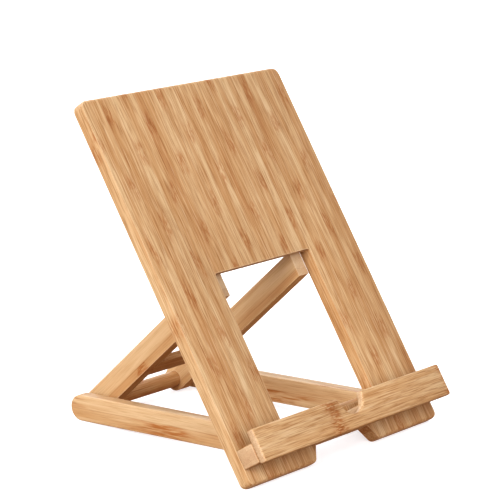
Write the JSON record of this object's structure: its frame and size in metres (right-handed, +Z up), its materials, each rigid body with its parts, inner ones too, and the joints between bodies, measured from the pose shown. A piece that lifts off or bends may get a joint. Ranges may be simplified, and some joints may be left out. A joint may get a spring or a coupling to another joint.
{
  "type": "tablet stand",
  "caption": "Folding bamboo stand that holds a tablet upright: sloping back panel with a ledge and a notched lip, on a base frame with a prop frame behind.",
  "frame": {"origin": "on the floor, midway across the stand and midway between the front of the lip and the rear ends of the rails", "axes": "+X to the right as seen from the front, +Y to the rear, +Z up"},
  "size_m": [0.166, 0.1694, 0.1906],
  "materials": {
    "panel_bamboo": "satin",
    "ledge_bamboo": "satin",
    "bar_bamboo": "satin",
    "dowel_bamboo": "satin"
  },
  "bodies": {
    "base": {"rail_left": "bar_bamboo", "rail_right": "bar_bamboo", "front_dowel": "dowel_bamboo", "rear_dowel": "dowel_bamboo"},
    "panel": {"back_panel": "panel_bamboo", "ledge": "ledge_bamboo", "lip": "panel_bamboo", "hinge_block_left": "bar_bamboo", "hinge_block_right": "bar_bamboo"},
    "prop": {"strut_left": "bar_bamboo", "strut_right": "bar_bamboo", "cross_board": "ledge_bamboo"}
  },
  "joints": [
    {"name": "panel_fold", "type": "hinge", "parent": "base", "child": "panel", "pos_m": [0, -0.05031, 0.01397], "axis": [1, 0, 0], "range_deg": [-59.93, 0]},
    {"name": "prop_fold", "type": "hinge", "parent": "base", "child": "prop", "pos_m": [0, 0.07722, 0.00745], "axis": [1, 0, 0], "range_deg": [0, 40.69]}
  ],
  "couplings": [
    {"joint": "prop_fold", "follows": "panel_fold", "ratio": -0.67863}
  ]
}
